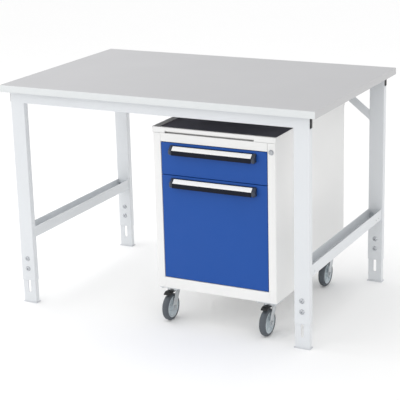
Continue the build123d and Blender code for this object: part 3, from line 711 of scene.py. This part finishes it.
class BENCH_OT_carcass(BenchOperator, bpy.types.Operator):
    """Folded side shells, back, base and roof of the pedestal"""
    bl_idname = "bench.carcass"
    bl_label = "Carcass"

    def build(self, sizes):
        low, high = corners("ped_posts")
        _, side_high = corners("ped_sides")
        post = 30.0 * MM
        depth = 18.0 * MM
        rear = side_high[1] - 0.5 * MM
        sheet = 1.5 * MM
        r = sizes.shell_radius
        inner_r = 1.6 * MM
        shells = []
        for edge, way in ((high[0], 1), (low[0], -1)):
            inner = edge - way * post
            bends = [(inner, low[1] + depth), (inner, low[1]), (edge, low[1]), (edge, rear)]
            path = rounded_path(bends, (0, inner_r, r, 0))
            shells.append(strip(path, side_step(path, -way * sheet), low[2], high[2], "z"))
        piece("carcass_shells", shells, "cabinet", "pedestal", ["ped_posts", "ped_sides"])
        paint("cabinet", "ped_back", "ped_base", "ped_top")


class BENCH_OT_tray(BenchOperator, bpy.types.Operator):
    """Pressed tray and ribbed mat"""
    bl_idname = "bench.tray"
    bl_label = "Tray and mat"

    def build(self, sizes):
        paint("cabinet", "ped_tray")
        low, high = corners("ped_mat")
        pitch = sizes.rib_pitch
        steps = int((high[1] - low[1]) / pitch) * 8
        y = np.linspace(low[1], high[1], steps + 1)
        # The top face is a row of flat-topped ribs: a cosine along Y, clipped to its middle.
        wave = np.clip(0.5 + 0.7 * np.cos((y - low[1]) * 2 * math.pi / pitch), 0.0, 1.0)
        top = np.column_stack([y, high[2] - sizes.rib_height * (1 - wave)])
        under = np.column_stack([y, np.full(len(y), low[2])])
        sheet = strip(top, under, low[0], high[0], "x")
        piece("ribbed_mat", [sheet], "mat", "pedestal", ["ped_mat"])


class BENCH_OT_drawers(BenchOperator, bpy.types.Operator):
    """Pressed fronts and steel boxes of the two drawers"""
    bl_idname = "bench.drawers"
    bl_label = "Drawers"

    def build(self, sizes):
        for name in DRAWERS:
            body = "drawer_" + name
            low, high = corners(body + "_front")
            front = round_box(low, high, sizes.front_radius)
            piece("pressed_front_" + name, [front], "fronts", body, [body + "_front"])
            paint("drawer", body + "_box")


class BENCH_OT_grips(BenchOperator, bpy.types.Operator):
    """Moulded grips with their ends and label strips"""
    bl_idname = "bench.grips"
    bl_label = "Grips"

    def build(self, sizes):
        wall = 2.4 * MM
        back, nose = 7.0 * MM, 15.0 * MM
        for name in DRAWERS:
            body = "drawer_" + name
            low, high = corners("handle_" + name)
            # The face straight down in front shows the grip's dark colour, which is partly painted shade.
            # The hook: out from the front plate, down the sloping label face, and straight down in front.
            shoulder = np.array([high[1] - back, high[2]])
            brow = np.array([low[1], high[2] - nose])
            bends = [(high[1], high[2]), shoulder, brow, (low[1], low[2])]
            line = rounded_path(bends, (0, 3 * MM, 5 * MM, 0), 8)
            hook = strip(line, side_step(line, -wall), low[0], high[0], "x")
            piece("grip_" + name, [hook], "grip", body, ["handle_" + name])
            self.ends(name, body, low[0], back, nose)
            self.label(name, body, shoulder, brow)

    def ends(self, name, body, grip_x, back, nose):
        low, high = corners("handle_caps_" + name)
        y0, y1, z0, z1 = low[1], high[1], low[2], high[2]
        cut = 6.0 * MM
        shape = [(y1, z1), (y1 - back, z1), (y0, z1 - nose), (y0, z0 + cut), (y0 + cut, z0), (y1, z0)]
        outline = rounded_loop(shape, (0, 0.5 * MM, 5 * MM, 7 * MM, 5 * MM, 5 * MM, 0.5 * MM, 0), 6)
        long = grip_x - low[0]
        spans = ((low[0], low[0] + long), (high[0] - long, high[0]))
        ends = [plate(outline, a, b, "x", 4.5 * MM, 5) for a, b in spans]
        piece("grip_ends_" + name, ends, "grip_end", body, ["handle_caps_" + name])

    def label(self, name, body, shoulder, brow):
        low, high = corners("label_" + name)
        along = (brow - shoulder) / np.linalg.norm(brow - shoulder)
        out = np.array([along[1], -along[0]])
        edge = 1.5 * MM
        thick = 0.45 * MM
        t = np.linspace(0.0, 1.0, 9)[:, None]
        first, last = shoulder + along * edge, brow - along * edge
        card = first + t * (last - first)
        # The card bows out a little between the edges that hold it: half a sine wave of 0.3 mm.
        bow = 0.3 * MM * np.sin(t * math.pi)
        film = strip(card + out * (thick + bow), card, low[0], high[0], "x")
        piece("label_strip_" + name, [film], "label", body, ["label_" + name])


class BENCH_OT_slides(BenchOperator, bpy.types.Operator):
    """Telescopic slides and their spacers"""
    bl_idname = "bench.slides"
    bl_label = "Slides"

    def build(self, sizes):
        paint("zinc", "slide_outer", "slide_spacers")
        for name in DRAWERS:
            paint("zinc", "slide_middle_" + name, "slide_inner_" + name)


class BENCH_OT_lock(BenchOperator, bpy.types.Operator):
    """Lock ring and its turning core"""
    bl_idname = "bench.lock"
    bl_label = "Lock"

    def build(self, sizes):
        low, high = corners("lock_bezel")
        x, z = (low[0] + high[0]) / 2, (low[2] + high[2]) / 2
        outer = (high[0] - low[0]) / 2
        t = np.linspace(0.0, math.pi / 2, 6)
        lip = 1.4 * MM
        arc = np.column_stack([outer - lip * (1 - np.cos(t)), low[1] + lip * (1 - np.sin(t))])
        flange_y = low[1] + 3.0 * MM
        bore = 6.6 * MM
        sleeve = bore + 1.4 * MM
        inside = [(bore + 1.0 * MM, low[1]), (bore, low[1] + 0.8 * MM), (bore, high[1]), (sleeve, high[1]),
                  (sleeve, flange_y)]
        profile = np.vstack([[(outer, flange_y)], arc, inside])
        ring = lathe(profile, (x, 0.0, z), "y", 40)
        piece("lock_ring", [ring], "nickel", "pedestal", ["lock_bezel"])
        paint("nickel", "lock_core")


class BENCH_OT_casters(BenchOperator, bpy.types.Operator):
    """Plates, forks, wheels, tyres and brake pedals"""
    bl_idname = "bench.casters"
    bl_label = "Casters"

    def build(self, sizes):
        paint("zinc", "caster_plates")
        for key in CASTERS:
            self.wheel(key)
            self.fork(key)
            paint("zinc", "caster_axle_" + key)
            if key in BRAKED:
                self.pedal(key)

    def wheel(self, key):
        low, high = corners("caster_tyre_" + key)
        centre = (low + high) / 2
        r = (high[2] - low[2]) / 2
        half = (high[0] - low[0]) / 2
        inner = 40.0 * MM
        t = np.linspace(-1.0, 1.0, 15)
        # The tread is a low crown that rolls over into the side walls: a power curve of the width.
        crown = np.column_stack([r - 7.0 * MM * np.abs(t) ** 3.5, t * half])
        walls = [(inner + 0.2 * MM, half - 1.0 * MM), (inner, half - 2.0 * MM), (inner, -half + 2.0 * MM),
                 (inner + 0.2 * MM, -half + 1.0 * MM)]
        tread = lathe(np.vstack([crown, walls]), centre, "x", 72)
        piece("tyre_" + key, [tread], "tyre", "wheel_" + key, ["caster_tyre_" + key])
        low, high = corners("caster_wheel_" + key)
        hub = (high[0] - low[0]) / 2
        rim = half - 2.0 * MM
        web = half - 8.0 * MM
        side = np.array([(AXLE_BORE, hub), (11.0 * MM, hub), (12.6 * MM, hub - 1.5 * MM),
                         (13.6 * MM, web + 1.0 * MM), (15.0 * MM, web), (31.0 * MM, web),
                         (33.5 * MM, web + 0.8 * MM), (35.0 * MM, rim - 1.0 * MM), (36.0 * MM, rim),
                         (39.2 * MM, rim), (inner, rim - 0.8 * MM)])
        section = np.vstack([side, side[::-1] * np.array([1.0, -1.0])])
        body = lathe(section, centre, "x", 64)
        # Ribs stand across the web, from the hub out to the rim.
        count = 5
        rib_x = rim - 0.6 * MM
        rib_half = 1.3 * MM
        rib, faces = round_box((-rib_x, 12.0 * MM, -rib_half), (rib_x, 34.5 * MM, rib_half), 0.8 * MM, 2)
        ribs = []
        for i in range(count):
            a = math.radians(360 / count * i + 90)
            turn = np.array([[1, 0, 0], [0, math.cos(a), -math.sin(a)], [0, math.sin(a), math.cos(a)]])
            ribs.append((rib @ turn.T + centre, faces))
        piece("wheel_centre_" + key, [body] + ribs, "wheel", "wheel_" + key,
              ["caster_wheel_" + key])

    def fork(self, key):
        low, high = corners("caster_fork_" + key)
        wheel_low, wheel_high = corners("caster_wheel_" + key)
        axle = (wheel_low + wheel_high) / 2
        trail = 34.0 * MM
        pivot = np.array([axle[0], axle[1] + trail, 0.0])
        head_r = (high[0] - low[0]) / 2
        head_z = high[2] - 9.5 * MM
        t = np.linspace(0.0, math.pi / 2, 6)
        lip = 3.0 * MM
        arc = np.column_stack([head_r - lip * (1 - np.cos(t)), high[2] - lip * (1 - np.sin(t))])
        bore = [(head_r - 5 * MM, high[2]), (AXLE_BORE, high[2]), (AXLE_BORE, head_z), (head_r, head_z)]
        head = lathe(np.vstack([arc, bore]), pivot, "z", 56)
        arm_z = high[2] - 5.2 * MM
        arm = [(pivot[1] + 14 * MM, arm_z), (pivot[1] - 20 * MM, arm_z),
               (axle[1] - 13 * MM, axle[2] + 10 * MM), (axle[1] - 13 * MM, axle[2] - 12.8 * MM),
               (axle[1] + 13 * MM, axle[2] - 12.8 * MM), (axle[1] + 15 * MM, axle[2] + 6 * MM),
               (pivot[1] + 2 * MM, head_z - 20 * MM)]
        outline = rounded_loop(arm, (0, 4 * MM, 9 * MM, 9 * MM, 12 * MM, 11 * MM, 12 * MM, 9 * MM, 0))
        inner = (wheel_high[0] - wheel_low[0]) / 2 + 0.5 * MM
        thick = 2.5 * MM
        right = plate(outline, axle[0] + inner, axle[0] + inner + thick, "x", 0.9 * MM)
        left = plate(outline, axle[0] - inner - thick, axle[0] - inner, "x", 0.9 * MM)
        piece("fork_" + key, [head, right, left], "zinc", "caster_" + key, ["caster_fork_" + key])

    def pedal(self, key):
        low, high = corners("brake_pedal_" + key)
        wheel_low, wheel_high = corners("caster_wheel_" + key)
        x = (wheel_low[0] + wheel_high[0]) / 2
        y = high[1] - 4 * MM
        z = 107.0 * MM
        # The lever's side view about its pivot, in millimetres: it dips at the tip, where the foot presses.
        shape = [(4, -2), (-12, -1.5), (-28, -1.5), (-42, -5), (-50, -4), (-48, 1), (-34, 6), (-20, 5),
                 (-14, 2.5), (4, 2)]
        outline = np.array([(y + a * MM, z + b * MM) for a, b in shape])
        smooth = rounded_loop(outline, 1.2 * MM, 3)
        half = 12.5 * MM
        lever = plate(smooth, x - half, x + half, "x", 1.0 * MM, 3)
        pin_r = 2.5 * MM
        start_x, end_x = low[0] - x, high[0] - x
        pin = lathe([(0.0, start_x), (pin_r, start_x), (pin_r, end_x), (0.0, end_x)], (x, y, z), "x", 20)
        piece("foot_lever_" + key, [lever, pin], "black", "pedal_" + key,
              ["brake_pedal_" + key])


class BENCH_OT_stage(BenchOperator, bpy.types.Operator):
    """Pale floor, soft studio light and the camera"""
    bl_idname = "bench.stage"
    bl_label = "Stage"

    def build(self, sizes):
        half = 30.0
        mesh = bpy.data.meshes.new("studio_floor")
        square = [(-half, -half, 0), (half, -half, 0), (half, half, 0), (-half, half, 0)]
        mesh.from_pydata(square, [], [(0, 1, 2, 3)])
        mesh.materials.append(finish_of("floor"))
        floor = bpy.data.objects.new("studio_floor", mesh)
        bpy.context.scene.collection.objects.link(floor)
        world = bpy.data.worlds.new("studio_white")
        world.use_nodes = True
        sky = world.node_tree.nodes["Background"].inputs
        sky["Color"].default_value = (1.0, 1.0, 1.0, 1.0)
        sky["Strength"].default_value = 1.0
        bpy.context.scene.world = world
        bpy.context.scene.view_settings.view_transform = "Standard"
        for name, settings in LAMPS.items():
            self.lamp(name, *settings)
        self.camera(sizes)

    def lamp(self, name, place, target, width, power):
        data = bpy.data.lights.new(name, "AREA")
        data.size = width
        data.energy = power
        lamp = bpy.data.objects.new(name, data)
        lamp.location = place
        aim = np.array(target) - np.array(place)
        level = math.hypot(aim[0], aim[1])
        lamp.rotation_euler = (math.atan2(level, -aim[2]), 0.0, math.atan2(-aim[0], aim[1]))
        bpy.context.scene.collection.objects.link(lamp)

    def camera(self, sizes):
        data = bpy.data.cameras.new("camera")
        data.sensor_width = 36.0
        data.lens = sizes.lens
        data.clip_end = 100.0
        data.dof.use_dof = False
        camera = bpy.data.objects.new("camera", data)
        pitch, turn, roll = (math.radians(a) for a in CAMERA_ANGLES)
        # Right, up and back axes of a level camera turned by turn, tipped down by pitch, then rolled.
        level = math.cos(pitch)
        forward = np.array([-math.sin(turn) * level, math.cos(turn) * level, -math.sin(pitch)])
        right = np.array([math.cos(turn), math.sin(turn), 0.0])
        up = np.cross(right, forward)
        rolled = math.cos(roll) * right + math.sin(roll) * up
        raised = math.cos(roll) * up - math.sin(roll) * right
        matrix = np.eye(4)
        matrix[:3, 0], matrix[:3, 1], matrix[:3, 2] = rolled, raised, -forward
        matrix[:3, 3] = CAMERA_PLACE
        camera.matrix_world = Matrix(matrix.tolist())
        bpy.context.scene.collection.objects.link(camera)
        bpy.context.scene.camera = camera


OPERATORS = (BENCH_OT_worktop, BENCH_OT_frame, BENCH_OT_fixings, BENCH_OT_carcass, BENCH_OT_tray,
             BENCH_OT_drawers, BENCH_OT_grips, BENCH_OT_slides, BENCH_OT_lock, BENCH_OT_casters,
             BENCH_OT_stage)


class BENCH_PT_panel(bpy.types.Panel):
    """Lists the pieces of the bench"""
    bl_label = "Workbench"
    bl_idname = "BENCH_PT_panel"
    bl_space_type = "VIEW_3D"
    bl_region_type = "UI"
    bl_category = "Workbench"

    def draw(self, context):
        layout = self.layout
        for group in (context.scene.bench_colours, context.scene.bench_sizes):
            box = layout.box()
            for name in group.__annotations__:
                box.prop(group, name)
        for operator in OPERATORS:
            layout.operator(operator.bl_idname)


CLASSES = (BenchColours, BenchSizes) + OPERATORS + (BENCH_PT_panel,)


def register():
    for cls in CLASSES:
        bpy.utils.register_class(cls)
    bpy.types.Scene.bench_colours = bpy.props.PointerProperty(type=BenchColours)
    bpy.types.Scene.bench_sizes = bpy.props.PointerProperty(type=BenchSizes)


def unregister():
    del bpy.types.Scene.bench_sizes
    del bpy.types.Scene.bench_colours
    for cls in reversed(CLASSES):
        bpy.utils.unregister_class(cls)


def main():
    register()
    for operator in OPERATORS:
        group, name = operator.bl_idname.split(".")
        getattr(getattr(bpy.ops, group), name)()


if __name__ == "__main__":
    main()
